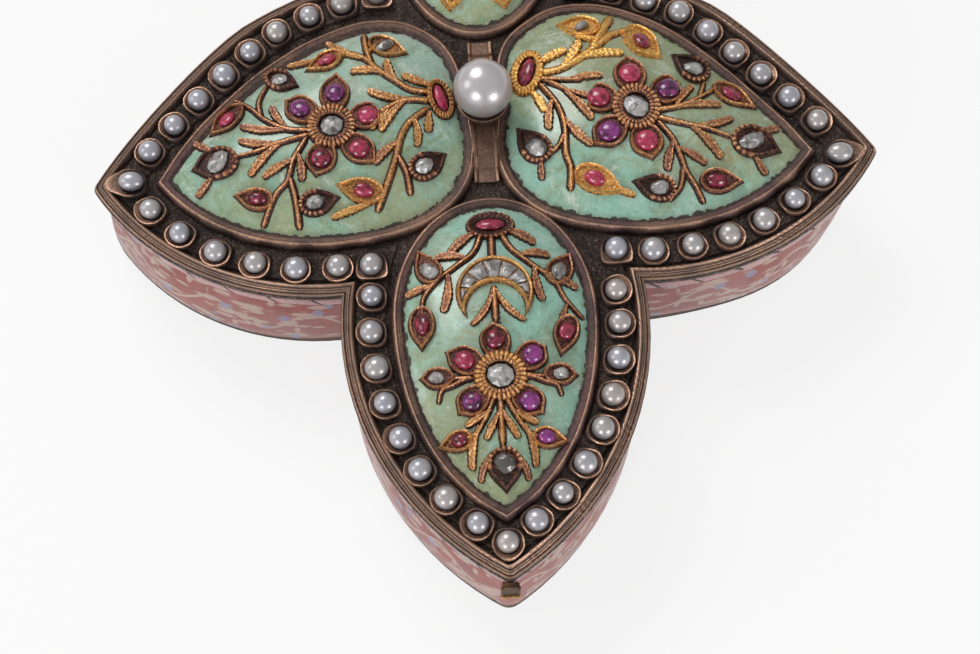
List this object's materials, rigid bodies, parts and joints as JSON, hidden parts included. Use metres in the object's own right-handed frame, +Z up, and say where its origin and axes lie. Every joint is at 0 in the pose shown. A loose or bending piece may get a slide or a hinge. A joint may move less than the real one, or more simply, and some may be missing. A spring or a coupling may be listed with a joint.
{
  "type": "jewelled box",
  "caption": "Jewelled box shaped as a pointed four-petal flower, its hinged lid set with domed stone panels, gold flower sprays, a seed-pearl border and a large pearl.",
  "frame": {"origin": "on the table, under the middle of the box body", "axes": "+Z up, the front petal and its clasp towards -Y, the hinge at the back petal towards +Y"},
  "size_m": [0.101, 0.1261, 0.0271],
  "materials": {
    "dark_bronze": "dark, granular, worn at the edges",
    "coppery_bronze": "satin, worn",
    "gold": "satin, warm",
    "brass": "satin",
    "red_brown_enamel": "glossy enamel",
    "pink_enamel": "satin enamel",
    "mint_stone": "polished, finely mottled stone",
    "ruby": "polished cabochon",
    "diamond": "rose cut",
    "pearl": "lustrous"
  },
  "bodies": {
    "box": {"base_plate": "coppery_bronze", "box_wall": "red_brown_enamel", "wall_wire": "coppery_bronze", "inner_lip": "brass", "hinge_leaf_box": "coppery_bronze", "hinge_pin": "brass", "clasp_catch": "brass"},
    "lid": {"lid_skirt": "pink_enamel", "lid_plate": "dark_bronze", "lid_rim": "coppery_bronze", "pearl_border_front": "dark_bronze", "pearl_border_right": "dark_bronze", "pearl_border_back": "dark_bronze", "pearl_border_left": "dark_bronze", "panel_collar_front": "coppery_bronze", "stone_panel_front": "mint_stone", "gold_spray_front": "gold", "flower_diamond_front": "diamond", "oval_ruby_front": "ruby", "panel_collar_back": "coppery_bronze", "stone_panel_back": "mint_stone", "gold_spray_back": "gold", "flower_diamond_back": "diamond", "panel_collar_right": "coppery_bronze", "stone_panel_right": "mint_stone", "gold_spray_right": "gold", "flower_diamond_right": "diamond", "oval_ruby_right": "ruby", "panel_collar_left": "coppery_bronze", "stone_panel_left": "mint_stone", "gold_spray_left": "gold", "flower_diamond_left": "diamond", "oval_ruby_left": "ruby", "strap": "dark_bronze", "pearl_cup": "dark_bronze", "large_pearl": "pearl", "hinge_leaf_lid": "coppery_bronze", "clasp_tongue": "brass"}
  },
  "joints": [
    {"name": "lid_hinge", "type": "hinge", "parent": "box", "child": "lid", "pos_m": [0, 0.0626, 0.0137], "axis": [-1, 0, 0], "range_deg": [0, 95]}
  ]
}
